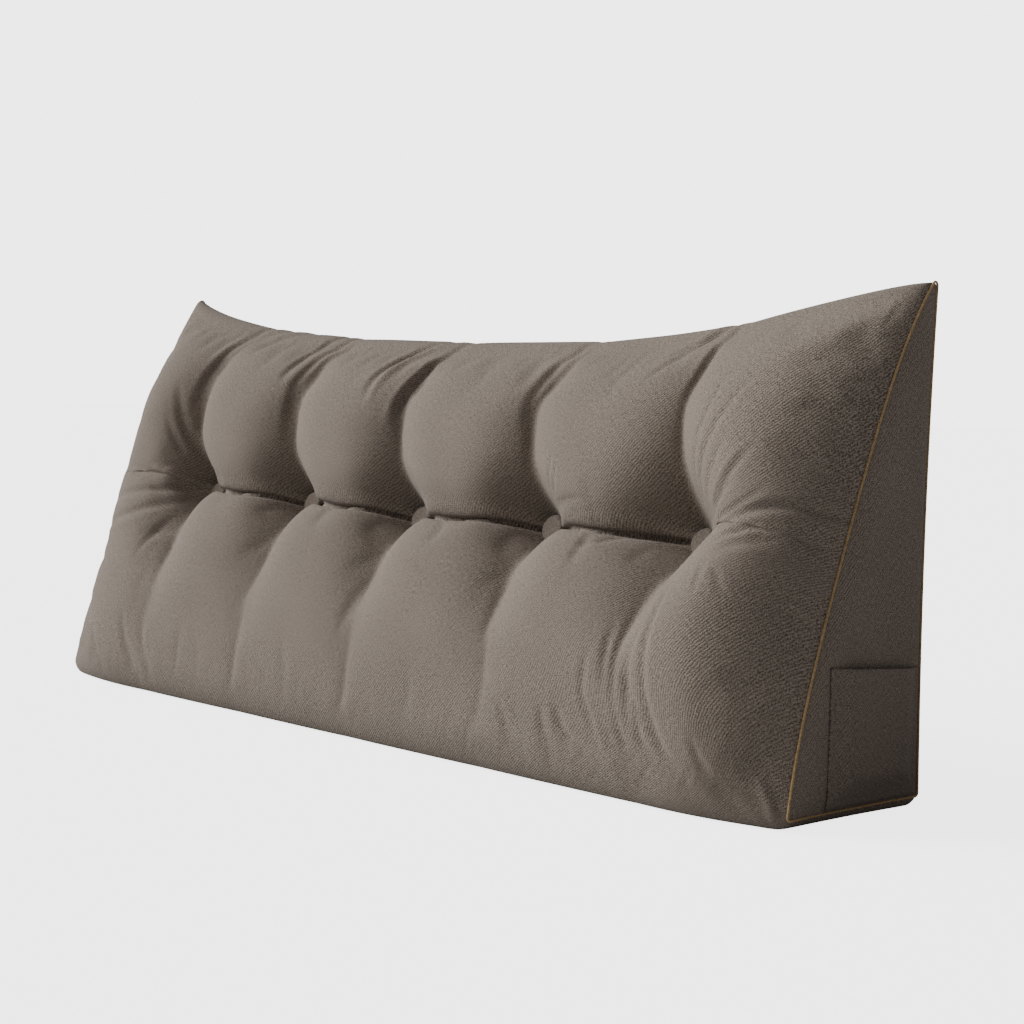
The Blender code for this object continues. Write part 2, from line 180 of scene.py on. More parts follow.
LOWER_LEAN_DROP = 1.4
CHANNEL_LEAN = [
    {"x": -HALF_LENGTH, "up": 0.0, "top": 0.0, "down": 0.0, "foot": 0.0},
    {"x": BUTTONS[0]["x"], "up": -0.038, "top": -0.008, "down": 0.004, "foot": 0.010},
    {"x": BUTTONS[1]["x"], "up": -0.038, "top": -0.016, "down": 0.000, "foot": 0.010},
    {"x": BUTTONS[2]["x"], "up": -0.038, "top": -0.020, "down": -0.002, "foot": 0.014},
    {"x": BUTTONS[3]["x"], "up": -0.032, "top": -0.016, "down": -0.004, "foot": 0.022},
    {"x": BUTTONS[4]["x"], "up": -0.022, "top": -0.024, "down": -0.042, "foot": 0.052},
    {"x": HALF_LENGTH, "up": 0.0, "top": 0.0, "down": 0.0, "foot": 0.0},
]
SEAM_BOW = 0.014
SEAM_BOW_SKEW = 0.25
FRONT_SEAM_PULL = 0.007
BACK_SEAM_PULL = 0.004
BASE_SEAM_PULL = 0.002
SEAM_PULL_REACH = 0.150
BACK_CROWN = 0.008


def channel_offset(x):
    """Distance to the nearest button's channel, before it leans, and the pit radius of that button."""
    offsets = np.array([np.abs(x - button["x"]) for button in BUTTONS])
    pits = np.array([button["pit"] for button in BUTTONS])
    return np.min(offsets, axis=0), pits[np.argmin(offsets, axis=0)]


def lean_at(x, share):
    """Sideways lean of the channels, so that a line of the net lies in each of them."""
    way = np.abs(share)
    up = table_value(CHANNEL_LEAN, "x", "up", x) * np.sin(np.pi * way)
    up = up + table_value(CHANNEL_LEAN, "x", "top", x) * ease(way)
    down = table_value(CHANNEL_LEAN, "x", "down", x) * np.sin(np.pi * way ** LOWER_LEAN_DROP) ** 2
    down = down + table_value(CHANNEL_LEAN, "x", "foot", x) * ease(way)
    return np.where(share < 0.0, down, up)


def row_rise(x):
    """Height of the button row as a share of the slope: it sags a little between the buttons."""
    inside = np.clip(x, BUTTONS[0]["x"], BUTTONS[-1]["x"])
    sag = CREASE_SAG / SLOPE.length * ease(channel_offset(inside)[0] / PUFF_HALF_WIDTH)
    return table_value(BUTTONS, "x", "rise", inside) - sag


def crown_at(x, share):
    """Crown of the puff at a point, one value where the upper and the lower puff meet."""
    upper = table_value(CROWNS, "x", "up", x)
    lower = table_value(CROWNS, "x", "down", x)
    between = (upper + lower) / 2
    return between + (np.where(share >= 0.0, upper, lower) - between) * ease(2.0 * np.abs(share))


def crease_strength(x):
    """1 along the button row, fading soon past each outer button."""
    beyond = np.maximum(np.maximum(BUTTONS[0]["x"] - x, x - BUTTONS[-1]["x"]), 0.0)
    return 1.0 - ease(beyond / CREASE_FADE)


def puff_height(x, share):
    """Outward height over the section: share is 0 on the button row, 1 at the top and -1 at the foot."""
    way = np.abs(share)
    offset, pit_radius = channel_offset(x)
    across = np.minimum(offset / PUFF_HALF_WIDTH, 1.0)
    upper, lower = (table_value(CHANNELS, "way", side, way) for side in ("up", "down"))
    deep = np.where(share >= 0.0, upper, lower)
    channel = deep * (1.0 - across) ** CHANNEL_POWER
    near_row = (1.0 - way) ** PUFF_RISE_POWER
    fall_power = np.where(share >= 0.0, PUFF_FALL_POWER["up"], PUFF_FALL_POWER["down"])
    open_puff = crown_at(x, share) * (1.0 - way ** fall_power)
    creased_puff = open_puff * (1.0 - near_row) + CREASE_LEVEL * near_row
    crease = crease_strength(x)
    reach = np.hypot(offset, way * HEIGHT / 2)
    pit = (PIT_LEVEL - CREASE_LEVEL) * np.exp(-((reach / pit_radius) ** 2))
    height = creased_puff * crease + open_puff * (1.0 - crease) - channel + pit
    return height * fullness(x, PUFF_END_REACH) ** PUFF_END_SOFTNESS


def seam_bow(x, share):
    offset = 2.0 * share - 1.0
    return SEAM_BOW * (1.0 - offset ** 4) * (1.0 + SEAM_BOW_SKEW * offset) * (1.0 - fullness(x))


def drawn_in(x, pull, share):
    near = 1.0 - ease((HALF_LENGTH - np.abs(x)) / SEAM_PULL_REACH)
    return x - np.copysign(pull * 4.0 * share * (1.0 - share) * near, x)


# %% Lay out the net of sections
FRONT_ROWS = 72
TOP_ROWS = 8
BACK_ROWS = 12
CORNER_ROWS = 5
BASE_ROWS = 6
COLUMN_PITCH = 0.0063
BASE_LIFT = 0.012
BASE_BULGE_REACH = 0.030
END_TURNS = 12
ROW_CROWDING = 1.5


def column_places():
    """Places of the sections along the cushion: even in the middle, crowded at the end seams."""
    end = END_REACH * (1.0 - np.cos(np.linspace(0.0, 0.62, END_TURNS)))
    middle_half = HALF_LENGTH - end[-1]
    count = int(round(2 * middle_half / COLUMN_PITCH))
    middle = np.linspace(-middle_half, middle_half, count + 1)
    return np.concatenate([-HALF_LENGTH + end[:-1], middle, (HALF_LENGTH - end[:-1])[::-1]])


def front_rows():
    """Shares of the way from the button row, crowded at the row itself."""
    half = np.linspace(0.0, 1.0, FRONT_ROWS // 2 + 1) ** ROW_CROWDING
    return np.concatenate([-half[:0:-1], half])


def front_grid(x, share):
    """Points of the sloping front, placed by their share of the way up the cloth."""
    front, top = corner("front", x), corner("top", x)
    normal = tangent_normal(front, top)
    first, last = line_ends(front, top, normal)
    line = last - first
    rise = row_rise(x)
    row_point = np.stack([DEPTH * rise - HALF_DEPTH, HEIGHT * rise], -1)
    row = np.sum((row_point - first) * line, -1) / np.sum(line * line, -1)
    along = np.where(share < 0.0, row * (1.0 + share), row + (1.0 - row) * share)
    out = puff_height(x, share) + seam_bow(x, along)
    place = drawn_in(x + lean_at(x, share), FRONT_SEAM_PULL, along)
    y = first[..., 0] + line[..., 0] * along + normal[0] * out
    z = first[..., 1] + line[..., 1] * along + normal[1] * out
    return np.stack([place, y, z], -1)


def arc_grid(centre, normal_in, normal_out, share):
    turn_in = np.arctan2(normal_in[1], normal_in[0])
    turn_out = np.arctan2(normal_out[1], normal_out[0])
    turn_out = np.where(turn_out > turn_in, turn_out - 2.0 * np.pi, turn_out)
    angle = turn_in + (turn_out - turn_in) * share
    normal = np.cos(angle), np.sin(angle)
    return centre[0] + centre[2] * normal[0], centre[1] + centre[2] * normal[1], normal


def cover_grid():
    """Every point of the tube of cloth: columns along the cushion, rows round it."""
    columns = column_places()
    front, top, back = (corner(name, columns[:, None]) for name in ("front", "top", "back"))
    slope_out = tangent_normal(front, top)
    back_out = tangent_normal(top, back)
    base_out = tangent_normal(back, front)
    share = front_rows()[None, :]
    x, share = np.broadcast_arrays(columns[:, None], share)
    blocks = [front_grid(x, share)]

    turn = (np.arange(1, TOP_ROWS + 1) / (TOP_ROWS + 1))[None, :]
    y, z, normal = arc_grid(top, slope_out, back_out, turn)
    one = np.ones_like(columns[:, None])
    crest = puff_height(columns[:, None], one) * (1.0 - turn)
    leaned = columns[:, None] + lean_at(columns[:, None], one) * (1.0 - turn)
    blocks.append(np.stack([leaned, y + normal[0] * crest, z + normal[1] * crest], -1))

    down = np.linspace(0.0, 1.0, BACK_ROWS)[None, :]
    first, last = line_ends(top, back, back_out)
    crown = BACK_CROWN * fullness(columns[:, None]) * np.sin(np.pi * down) ** 0.7
    y = first[..., 0] + (last - first)[..., 0] * down + back_out[0] * crown
    z = first[..., 1] + (last - first)[..., 1] * down + back_out[1] * crown
    place = drawn_in(columns[:, None] + 0 * down, BACK_SEAM_PULL, down)
    blocks.append(np.stack([place, y, z], -1))

    turn = (np.arange(1, CORNER_ROWS + 1) / (CORNER_ROWS + 1))[None, :]
    y, z, normal = arc_grid(back, back_out, base_out, turn)
    blocks.append(np.stack([columns[:, None] + 0 * turn, y, z], -1))

    under = np.linspace(0.0, 1.0, BASE_ROWS)[None, :]
    first, last = line_ends(back, front, base_out)
    y = first[..., 0] + (last - first)[..., 0] * under
    z = first[..., 1] + (last - first)[..., 1] * under
    place = drawn_in(columns[:, None] + 0 * under, BASE_SEAM_PULL, under)
    blocks.append(np.stack([place, y, z], -1))

    y, z, normal = arc_grid(front, base_out, slope_out, turn)
    hem = puff_height(columns[:, None], -one) * turn
    leaned = columns[:, None] + lean_at(columns[:, None], -one) * turn
    blocks.append(np.stack([leaned, y + normal[0] * hem, z + normal[1] * hem], -1))
    below = BASE_LIFT * fullness(columns, BASE_BULGE_REACH)[:, None]
    for block in blocks[3:5]:
        block[..., 2] -= below
    blocks[5][..., 2] -= below * (1.0 - turn)
    grid = np.concatenate(blocks, axis=1)
    grid[..., 2] = np.maximum(grid[..., 2], 0.0)
    return grid


# %% [markdown]
# ## End panels
#
# Each end of the cushion is closed by a triangular panel. It could be one flat face, but stuffing makes it
# swell a little between its seams, so it is built as rings drawn in towards the middle of the triangle.

# %% End panels and the whole skin
PANEL_MIDDLE = (0.019, 0.081)
PANEL_RINGS = 10
PANEL_SWELL = 0.0030
PANEL_SWELL_REACH = 0.11


def panel_rings(loop, side):
    """Rings from the end seam to the middle of its panel."""
    rings = []
    middle = np.array([0.0, *PANEL_MIDDLE])
    for step in range(1, PANEL_RINGS + 1):
        inward = step / (PANEL_RINGS + 0.6)
        shrink = 1.0 - inward
        ring = middle + (loop - middle) * shrink
        swell = PANEL_SWELL * (1.0 - math.exp(-inward / PANEL_SWELL_REACH))
        flat_x = side * (HALF_LENGTH - 0.001)
        blend = min(inward / 0.12, 1.0)
        ring[:, 0] = loop[:, 0] * (1.0 - blend) + flat_x * blend + side * swell
        rings.append(ring)
    return rings


def skin(name, rings, cloth_v):
    """One closed mesh from a row of rings, with a cloth-length map so that the weave follows the cover."""
    count = len(rings[0])
    bm = bmesh.new()
    uv = bm.loops.layers.uv.new("cloth")
    verts = [[bm.verts.new(p) for p in ring] for ring in rings]
    for r, (near, far) in enumerate(zip(verts, verts[1:])):
        for i in range(count):
            j = (i + 1) % count
            face = bm.faces.new((near[i], near[j], far[j], far[i]))
            top_v = cloth_v[i + 1]
            on_panel = r < PANEL_RINGS or r >= len(rings) - 1 - PANEL_RINGS
            corners = ((r, cloth_v[i]), (r, top_v), (r + 1, top_v), (r + 1, cloth_v[i]))
            for loop, (ring, v) in zip(face.loops, corners):
                loop[uv].uv = (loop.vert.co.y, loop.vert.co.z) if on_panel else (ring_u[ring], v)
    for ring in (verts[0], verts[-1]):
        face = bm.faces.new(ring)
        for loop in face.loops:
            loop[uv].uv = (loop.vert.co.y, loop.vert.co.z)
    bmesh.ops.recalc_face_normals(bm, faces=bm.faces)
    mesh = bpy.data.meshes.new(name)
    bm.to_mesh(mesh)
    bm.free()
    obj = bpy.data.objects.new(name, mesh)
    bpy.context.scene.collection.objects.link(obj)
    return obj


bpy.ops.object.select_all(action="DESELECT")
grid = cover_grid()
rings = [ring for ring in panel_rings(grid[0], -1)[::-1]] + list(grid) + panel_rings(grid[-1], 1)
middle_column = grid[len(grid) // 2]
steps = np.linalg.norm(np.roll(middle_column, -1, axis=0) - middle_column, axis=1)
cloth_v = np.concatenate([[0.0], np.cumsum(steps)])
ring_u = [0.0] * PANEL_RINGS + list(column_places()) + [0.0] * PANEL_RINGS
cover = skin("cushion_cover", rings, cloth_v)
print("cover net", len(grid), "sections of", grid.shape[1], "points")

# %% [markdown]
# ## Tighten the cloth
#
# Stuffing presses outward while seams, buttons and twine hold the cloth, and that is what wrinkles it.
# Blender's Cloth does just this with its pressure. The seams and seats are pinned, gravity is off, the cloth is
# given a little more length than it needs, and no point may move further than a cap, so the sizes stay true.

# %% Cloth pressure on the net
PRESSURE = 4.0
SPARE_CLOTH = 0.018
LAST_FRAME = 20
MOVE_CAP = 0.006
SEAM_HOLD = 0.020
FOOT_HOLD = 0.050
TOP_HOLD = 0.022
SEAT_HOLD = 0.024


def hold_weights(points):
    """1 where the cloth can't move: end seams and panels, base, top and foot edges, and the button seats."""
    weights = 1.0 - ease((HALF_LENGTH - 0.004 - np.abs(points[:, 0])) / SEAM_HOLD)
    weights = np.maximum(weights, 1.0 - ease((points[:, 2] - 0.004) / FOOT_HOLD))
    crest = HEIGHT - top_sink(points[:, 0])
    weights = np.maximum(weights, 1.0 - ease((crest - 0.006 - points[:, 2]) / TOP_HOLD))
    for button in BUTTONS:
        seat = np.array(SLOPE_FOOT + Vector((button["x"], 0.0, 0.0)) + SLOPE * button["rise"])
        reach = np.linalg.norm(points - seat, axis=1)
        weights = np.maximum(weights, 1.0 - ease((reach - SEAT_HOLD) / button["pit"]))
    return weights


def coordinates(mesh):
    flat = np.empty(len(mesh.vertices) * 3)
    mesh.vertices.foreach_get("co", flat)
    return flat.reshape(-1, 3)


def tighten(piece):
    before = coordinates(piece.data)
    held = piece.vertex_groups.new(name="held")
    for index, weight in enumerate(hold_weights(before)):
        if weight > 0.0:
            held.add([index], float(weight), "REPLACE")
    cloth = piece.modifiers.new("stuffing", "CLOTH")
    cloth.settings.use_pressure = True
    cloth.settings.uniform_pressure_force = PRESSURE
    cloth.settings.effector_weights.gravity = 0.0
    cloth.settings.shrink_min = -SPARE_CLOTH
    cloth.settings.vertex_group_mass = held.name
    cloth.settings.bending_stiffness = 0.2
    cloth.settings.quality = 6
    for frame_number in range(1, LAST_FRAME + 1):
        bpy.context.scene.frame_set(frame_number)
    bpy.context.view_layer.objects.active = piece
    bpy.ops.object.modifier_apply(modifier=cloth.name)
    bpy.context.scene.frame_set(1)
    piece.vertex_groups.clear()
    moved = coordinates(piece.data) - before
    length = np.linalg.norm(moved, axis=1, keepdims=True)
    moved *= np.tanh(length / MOVE_CAP) * MOVE_CAP / np.maximum(length, 1e-9)
    piece.data.vertices.foreach_set("co", (before + moved).ravel())
    piece.data.update()
    return float(np.linalg.norm(moved, axis=1).max())


bpy.ops.object.select_all(action="DESELECT")
cover.select_set(True)
print("cloth moved at most", round(tighten(cover) / MM, 1), "mm")

# %% Finish the body's surface
smooth = cover.modifiers.new("round off", "SUBSURF")
smooth.levels = smooth.render_levels = 1
bpy.context.view_layer.objects.active = cover
bpy.ops.object.modifier_apply(modifier=smooth.name)
print("cover faces", len(cover.data.polygons))

# %% [markdown]
# ## Creases and folds
#
# What a viewer reads as cloth is the folds: the sharp crease from button to button, fans of small folds round
# each button, and slack folds at the foot. They could be painted into a bump map, but real relief catches the
# light at the outline too. Each is drawn as a short curve on the slope, and pressed in or raised.

# %% Crease and fold sizes
CREASE_DEPTH = 0.0045
CREASE_HALF_WIDTH = 0.0040
LIP_DROP = 0.0030
LIP_HALF_WIDTH = 0.0070
FOLD_STEPS = 16
SHOULDER = 0.9
# Places are metres along the cushion and up the slope. Width and depth are in mm; a ridge's depth is negative.
FOLDS = [
    {"from": (-0.452, 0.350), "bend": (-0.446, 0.430), "to": (-0.398, 0.492), "wide": 7.0, "deep": 3.5},
    {"from": (-0.430, 0.300), "bend": (-0.458, 0.335), "to": (-0.484, 0.385), "wide": 7.0, "deep": 2.5},
    {"from": (-0.445, 0.292), "bend": (-0.460, 0.312), "to": (-0.480, 0.338), "wide": 6.0, "deep": 1.8},
    {"from": (-0.425, 0.262), "bend": (-0.470, 0.240), "to": (-0.560, 0.226), "wide": 7.0, "deep": 2.5},
    {"from": (-0.425, 0.234), "bend": (-0.487, 0.206), "to": (-0.572, 0.192), "wide": 8.0, "deep": 3.0},
    {"from": (-0.415, 0.214), "bend": (-0.432, 0.188), "to": (-0.446, 0.158), "wide": 7.0, "deep": 2.2},
    {"from": (-0.470, 0.265), "bend": (-0.520, 0.268), "to": (-0.565, 0.276), "wide": 9.0, "deep": 1.5},
    {"from": (-0.440, 0.078), "bend": (-0.425, 0.045), "to": (-0.400, 0.010), "wide": 7.0, "deep": 2.0},
    {"from": (-0.514, 0.058), "bend": (-0.500, 0.034), "to": (-0.476, 0.004), "wide": 7.0, "deep": 2.0},
    {"from": (-0.395, 0.068), "bend": (-0.384, 0.040), "to": (-0.364, 0.008), "wide": 7.0, "deep": 2.0},
    {"from": (-0.288, 0.400), "bend": (-0.281, 0.446), "to": (-0.238, 0.488), "wide": 6.0, "deep": 3.5},
    {"from": (-0.268, 0.392), "bend": (-0.259, 0.430), "to": (-0.220, 0.482), "wide": 6.0, "deep": 3.0},
    {"from": (-0.250, 0.322), "bend": (-0.264, 0.368), "to": (-0.268, 0.408), "wide": 6.0, "deep": 2.0},
    {"from": (-0.388, 0.448), "bend": (-0.350, 0.472), "to": (-0.296, 0.488), "wide": 7.0, "deep": 1.8},
    {"from": (-0.408, 0.462), "bend": (-0.372, 0.484), "to": (-0.330, 0.496), "wide": 7.0, "deep": 1.8},
    {"from": (-0.108, 0.380), "bend": (-0.106, 0.436), "to": (-0.040, 0.476), "wide": 6.0, "deep": 4.0},
    {"from": (-0.062, 0.362), "bend": (-0.056, 0.414), "to": (-0.014, 0.472), "wide": 6.0, "deep": 4.0},
    {"from": (-0.098, 0.372), "bend": (-0.092, 0.436), "to": (-0.034, 0.472), "wide": 7.0, "deep": -2.5},
    {"from": (-0.067, 0.350), "bend": (-0.066, 0.404), "to": (-0.042, 0.448), "wide": 7.0, "deep": -2.0},
    {"from": (0.162, 0.352), "bend": (0.158, 0.415), "to": (0.190, 0.476), "wide": 7.0, "deep": 3.0},
    {"from": (0.249, 0.279), "bend": (0.250, 0.292), "to": (0.251, 0.308), "wide": 4.5, "deep": 1.5},
    {"from": (0.236, 0.283), "bend": (0.238, 0.300), "to": (0.240, 0.320), "wide": 4.5, "deep": 1.5},
    {"from": (0.385, 0.488), "bend": (0.360, 0.466), "to": (0.328, 0.438), "wide": 7.0, "deep": 3.0},
    {"from": (0.396, 0.484), "bend": (0.387, 0.440), "to": (0.383, 0.388), "wide": 6.0, "deep": 3.0},
    {"from": (0.326, 0.408), "bend": (0.348, 0.445), "to": (0.382, 0.488), "wide": 6.0, "deep": 2.5},
    {"from": (0.443, 0.288), "bend": (0.452, 0.337), "to": (0.482, 0.406), "wide": 5.5, "deep": 2.5},
    {"from": (0.432, 0.288), "bend": (0.431, 0.342), "to": (0.448, 0.412), "wide": 5.0, "deep": 2.0},
    {"from": (0.458, 0.282), "bend": (0.466, 0.308), "to": (0.478, 0.342), "wide": 5.0, "deep": 2.0},
    {"from": (0.474, 0.278), "bend": (0.484, 0.302), "to": (0.498, 0.330), "wide": 5.0, "deep": -1.5},
    {"from": (0.484, 0.282), "bend": (0.497, 0.308), "to": (0.514, 0.336), "wide": 5.0, "deep": 2.0},
    {"from": (0.472, 0.266), "bend": (0.486, 0.281), "to": (0.504, 0.302), "wide": 5.0, "deep": 2.0},
    {"from": (0.482, 0.262), "bend": (0.508, 0.272), "to": (0.534, 0.294), "wide": 5.0, "deep": 2.0},
    {"from": (0.496, 0.256), "bend": (0.548, 0.280), "to": (0.597, 0.290), "wide": 7.0, "deep": 3.5},
    {"from": (0.498, 0.243), "bend": (0.518, 0.249), "to": (0.538, 0.259), "wide": 5.0, "deep": 2.0},
    {"from": (0.508, 0.233), "bend": (0.530, 0.240), "to": (0.560, 0.250), "wide": 7.0, "deep": 1.8},
    {"from": (0.496, 0.218), "bend": (0.497, 0.203), "to": (0.498, 0.186), "wide": 5.0, "deep": 1.5},
    {"from": (0.511, 0.213), "bend": (0.518, 0.201), "to": (0.528, 0.188), "wide": 5.0, "deep": 1.5},
    {"from": (0.457, 0.196), "bend": (0.450, 0.150), "to": (0.454, 0.096), "wide": 7.0, "deep": 3.0},
    {"from": (0.453, 0.112), "bend": (0.470, 0.060), "to": (0.524, 0.004), "wide": 7.0, "deep": 3.0},
    {"from": (0.436, 0.150), "bend": (0.428, 0.108), "to": (0.440, 0.056), "wide": 5.5, "deep": 2.2},
    {"from": (0.414, 0.170), "bend": (0.408, 0.120), "to": (0.420, 0.070), "wide": 5.5, "deep": 2.2},
    {"from": (0.422, 0.066), "bend": (0.440, 0.034), "to": (0.474, 0.004), "wide": 5.5, "deep": 2.4},
    {"from": (0.446, 0.072), "bend": (0.462, 0.038), "to": (0.498, 0.006), "wide": 5.0, "deep": 1.8},
    {"from": (0.376, 0.120), "bend": (0.374, 0.090), "to": (0.384, 0.060), "wide": 5.5, "deep": 1.8},
    {"from": (0.394, 0.148), "bend": (0.396, 0.120), "to": (0.401, 0.088), "wide": 6.0, "deep": 2.2},
    {"from": (0.383, 0.074), "bend": (0.388, 0.060), "to": (0.397, 0.044), "wide": 5.0, "deep": 1.5},
    {"from": (0.400, 0.054), "bend": (0.414, 0.030), "to": (0.432, 0.008), "wide": 6.0, "deep": -2.0},
    {"from": (0.321, 0.062), "bend": (0.328, 0.034), "to": (0.346, 0.010), "wide": 7.0, "deep": 2.5},
    {"from": (0.341, 0.064), "bend": (0.362, 0.036), "to": (0.414, 0.003), "wide": 6.0, "deep": 3.0},
    {"from": (0.261, 0.056), "bend": (0.280, 0.026), "to": (0.307, 0.004), "wide": 7.0, "deep": 2.5},
    {"from": (0.517, 0.056), "bend": (0.535, 0.028), "to": (0.567, 0.006), "wide": 6.0, "deep": 2.5},
    {"from": (0.573, 0.042), "bend": (0.584, 0.022), "to": (0.590, 0.006), "wide": 6.0, "deep": -2.0},
    {"from": (0.238, 0.270), "bend": (0.272, 0.272), "to": (0.304, 0.274), "wide": 4.5, "deep": 1.3},
    {"from": (0.260, 0.228), "bend": (0.315, 0.225), "to": (0.348, 0.240), "wide": 5.0, "deep": 1.6},
]


def fold_curve(fold):
    """A short curve through its three places."""
    first, bend, last = (np.array(fold[name]) for name in ("from", "bend", "to"))
    pull = 2.0 * bend - (first + last) / 2.0
    t = np.linspace(0.0, 1.0, FOLD_STEPS + 1)[:, None]
    return first * (1.0 - t) ** 2 + pull * 2.0 * t * (1.0 - t) + last * t ** 2


def fold_relief(place, fold):
    """Height that one fold gives to each place: a valley with a low shoulder on both sides."""
    curve = fold_curve(fold)
    nearest = np.full(len(place), np.inf)
    along = np.zeros(len(place))
    for step, (start, end) in enumerate(zip(curve, curve[1:])):
        run = end - start
        share = np.clip(((place - start) @ run) / (run @ run), 0.0, 1.0)
        far = np.linalg.norm(place - start - share[:, None] * run, axis=1)
        closer = far < nearest
        nearest = np.where(closer, far, nearest)
        along = np.where(closer, (step + share) / FOLD_STEPS, along)
    across = (nearest / (fold["wide"] * MM)) ** 2
    taper = np.sin(np.pi * np.clip(along, 0.02, 0.98)) ** 0.6
    return -fold["deep"] * MM * (1.0 - SHOULDER * across) * np.exp(-across) * taper


def press_folds(piece):
    """Move the front's points in or out for the crease between the buttons and for every fold."""
    points = coordinates(piece.data)
    flat = np.empty(len(points) * 3)
    piece.data.vertices.foreach_get("normal", flat)
    normals = flat.reshape(-1, 3)
    facing = ease((normals @ np.array(SLOPE_OUT) + 0.15) / 0.4)
    place = np.stack([points[:, 0], (points - np.array(SLOPE_FOOT)) @ np.array(SLOPE_DIR)], -1)
    height = sum(fold_relief(place, fold) for fold in FOLDS)
    row = row_rise(place[:, 0]) * SLOPE.length
    above = place[:, 1] - row
    between = ease((place[:, 0] - BUTTONS[0]["x"]) / 0.03) * ease((BUTTONS[-1]["x"] - place[:, 0]) / 0.03)
    height -= CREASE_DEPTH * np.exp(-((above / CREASE_HALF_WIDTH) ** 2)) * between
    lip = np.where(above > 0.0, np.exp(-(((above - LIP_HALF_WIDTH) / LIP_HALF_WIDTH) ** 2)), 0.0)
    drop = lip * between * LIP_DROP
    moved = points + normals * (height * facing)[:, None] - np.array(SLOPE_DIR) * (drop * facing)[:, None]
    moved[:, 2] = np.maximum(moved[:, 2], 0.0)
    piece.data.vertices.foreach_set("co", moved.ravel())
    piece.data.update()


press_folds(cover)
cover.data.shade_smooth()
print("folds pressed", len(FOLDS))


# %% [markdown]
# ## Cloth finish
#
# The cover is a thick linen-look twill: fine diagonal ribs, with threads a little lighter or darker than
# their neighbours. A picture of cloth could be wrapped on it, but a pattern made of nodes has no seams and no
# fixed size. It is a node group, built once, that every cloth of the cushion uses with its own values.

# %% The twill group
def link(tree, source, target):
    tree.links.new(source, target)


def math_node(tree, operation, first, second=None):
    node = tree.nodes.new("ShaderNodeMath")
    node.operation = operation
    for socket, value in zip(node.inputs, (first, second)):
        if value is None:
            continue
        if isinstance(value, (int, float)):
            socket.default_value = value
        else:
            link(tree, value, socket)
    return node.outputs[0]


def noise_value(tree, vector, scale, detail):
    """A noise of its own scale along and across the cloth, about nought."""
    stretch = tree.nodes.new("ShaderNodeVectorMath")
    stretch.operation = "MULTIPLY"
    link(tree, vector, stretch.inputs[0])
    stretch.inputs[1].default_value = (*scale, 1.0)
    noise = tree.nodes.new("ShaderNodeTexNoise")
    noise.inputs["Scale"].default_value = 1.0
    noise.inputs["Detail"].default_value = detail
    link(tree, stretch.outputs[0], noise.inputs["Vector"])
    return math_node(tree, "SUBTRACT", noise.outputs["Fac"], 0.5)


def twill_group():
    tree = bpy.data.node_groups.new("twill weave", "ShaderNodeTree")
    face = tree.interface
    face.new_socket(name="Vector", in_out="INPUT", socket_type="NodeSocketVector")
    face.new_socket(name="Pitch", in_out="INPUT", socket_type="NodeSocketFloat").default_value = 0.0022
    face.new_socket(name="Shade", in_out="OUTPUT", socket_type="NodeSocketFloat")
    face.new_socket(name="Height", in_out="OUTPUT", socket_type="NodeSocketFloat")
    inside = tree.nodes.new("NodeGroupInput")
    outside = tree.nodes.new("NodeGroupOutput")
    split = tree.nodes.new("ShaderNodeSeparateXYZ")
    link(tree, inside.outputs["Vector"], split.inputs[0])
    wander = noise_value(tree, inside.outputs["Vector"], (140.0, 140.0), 2.0)
    turns = math_node(tree, "DIVIDE", 2.0 * math.pi, inside.outputs["Pitch"])
    across = math_node(tree, "MULTIPLY", split.outputs["X"], -0.77)
    up = math_node(tree, "MULTIPLY", split.outputs["Y"], 0.64)
    rib_place = math_node(tree, "MULTIPLY", math_node(tree, "ADD", across, up), turns)
    rib = math_node(tree, "SINE", math_node(tree, "ADD", rib_place, math_node(tree, "MULTIPLY", wander, 7.0)))
    grain = noise_value(tree, inside.outputs["Vector"], (1150.0, 1150.0), 0.0)
    warp = noise_value(tree, inside.outputs["Vector"], (1500.0, 240.0), 0.0)
    weft = noise_value(tree, inside.outputs["Vector"], (240.0, 1500.0), 0.0)
    threads = math_node(tree, "ADD", warp, weft)
    grain = math_node(tree, "MULTIPLY", grain, 2.6)
    fleck = math_node(tree, "ADD", grain, math_node(tree, "MULTIPLY", threads, 1.1))
    ribbed = math_node(tree, "ADD", fleck, math_node(tree, "MULTIPLY", rib, 0.22))
    link(tree, math_node(tree, "ADD", ribbed, 0.5), outside.inputs["Shade"])
    rib_relief = math_node(tree, "MULTIPLY", rib, 0.40)
    relief = math_node(tree, "ADD", rib_relief, math_node(tree, "MULTIPLY", fleck, 0.3))
    link(tree, math_node(tree, "ADD", relief, 0.5), outside.inputs["Height"])
    return tree


TWILL = twill_group()
given = [item.name for item in TWILL.interface.items_tree if item.in_out == "OUTPUT"]
print("group", TWILL.name, "gives", given)


